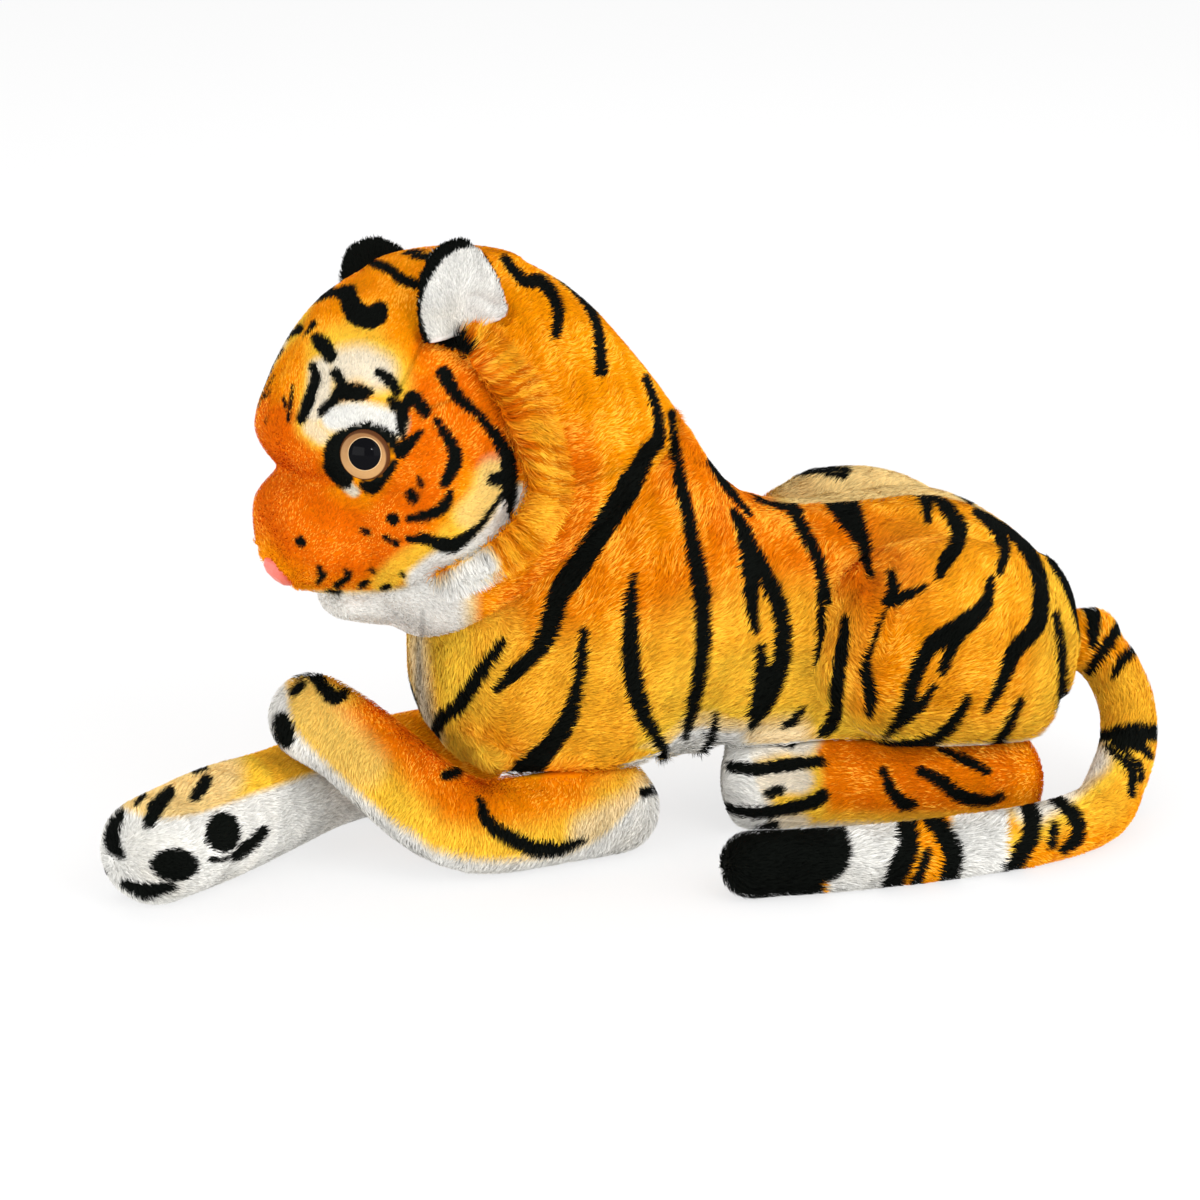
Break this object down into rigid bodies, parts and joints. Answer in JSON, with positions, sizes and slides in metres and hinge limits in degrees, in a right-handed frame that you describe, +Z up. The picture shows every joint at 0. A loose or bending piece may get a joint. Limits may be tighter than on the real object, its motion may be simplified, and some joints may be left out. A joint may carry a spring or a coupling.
{
  "type": "plush tiger",
  "caption": "Stuffed tiger lying down with crossed front legs, a turned head with plastic eyes and nose, cheek ruffs, and a tail curled along its side.",
  "frame": {"origin": "middle of the toy's outline seen from above, on the surface that it lies on", "axes": "+Z up, -X the way the tiger lies and faces, -Y its left side"},
  "size_m": [0.443, 0.2008, 0.2535],
  "materials": {
    "striped_fur": "short plush pile, orange with black stripes and white parts",
    "white_fur": "short white plush pile",
    "black_fur": "short plush pile, black outside and white inside",
    "eye_plastic": "clear glossy dome over an amber iris and a black pupil",
    "nose_plastic": "coral plastic, satin",
    "washer_plastic": "white plastic, satin"
  },
  "bodies": {
    "trunk": {"body": "striped_fur", "haunch_left": "striped_fur", "haunch_right": "striped_fur"},
    "head_body": {"head": "striped_fur", "muzzle": "striped_fur", "chin": "white_fur", "ruff_left": "striped_fur", "ruff_right": "striped_fur", "eye_left": "eye_plastic", "eye_right": "eye_plastic", "nose": "nose_plastic", "eye_left_washer": "washer_plastic", "eye_right_washer": "washer_plastic", "nose_washer": "washer_plastic"},
    "ear_left_body": {"ear_left": "black_fur"},
    "ear_right_body": {"ear_right": "black_fur"},
    "front_leg_left_body": {"front_leg_left": "striped_fur"},
    "front_leg_right_body": {"front_leg_right": "striped_fur"},
    "hind_leg_left_body": {"hind_leg_left": "striped_fur"},
    "hind_leg_right_body": {"hind_leg_right": "striped_fur"},
    "tail_body": {"tail": "striped_fur"}
  },
  "joints": [
    {"name": "neck_turn", "type": "hinge", "parent": "trunk", "child": "head_body", "pos_m": [-0.0368, 0.023, 0.125], "axis": [-0.5878, 0, 0.809], "range_deg": [-15, 15], "stiffness_Nm_per_rad": 0.6},
    {"name": "ear_left_fold", "type": "hinge", "parent": "head_body", "child": "ear_left_body", "pos_m": [-0.074, -0.0245, 0.22], "axis": [-0.9365, -0.2973, -0.1861], "range_deg": [-12, 12], "stiffness_Nm_per_rad": 0.02},
    {"name": "ear_right_fold", "type": "hinge", "parent": "head_body", "child": "ear_right_body", "pos_m": [-0.0874, 0.0533, 0.2152], "axis": [-0.9489, -0.0484, -0.3118], "range_deg": [-12, 12], "stiffness_Nm_per_rad": 0.02},
    {"name": "front_leg_left_swing", "type": "hinge", "parent": "trunk", "child": "front_leg_left_body", "pos_m": [-0.0129, -0.022, 0.0186], "axis": [0, 0, 1], "range_deg": [0, 20], "stiffness_Nm_per_rad": 0.3},
    {"name": "front_leg_right_swing", "type": "hinge", "parent": "trunk", "child": "front_leg_right_body", "pos_m": [-0.0557, 0.0671, 0.0186], "axis": [0, 0, -1], "range_deg": [0, 25], "stiffness_Nm_per_rad": 0.3},
    {"name": "hind_leg_left_splay", "type": "hinge", "parent": "trunk", "child": "hind_leg_left_body", "pos_m": [0.1541, -0.024, 0.0186], "axis": [0, 0, 1], "range_deg": [0, 12], "stiffness_Nm_per_rad": 0.3},
    {"name": "hind_leg_right_splay", "type": "hinge", "parent": "trunk", "child": "hind_leg_right_body", "pos_m": [0.1541, 0.0701, 0.0186], "axis": [0, 0, -1], "range_deg": [0, 12], "stiffness_Nm_per_rad": 0.3},
    {"name": "tail_swing", "type": "hinge", "parent": "trunk", "child": "tail_body", "pos_m": [0.2006, 0.023, 0.0601], "axis": [0, 0, 1], "range_deg": [0, 45], "stiffness_Nm_per_rad": 0.1}
  ]
}
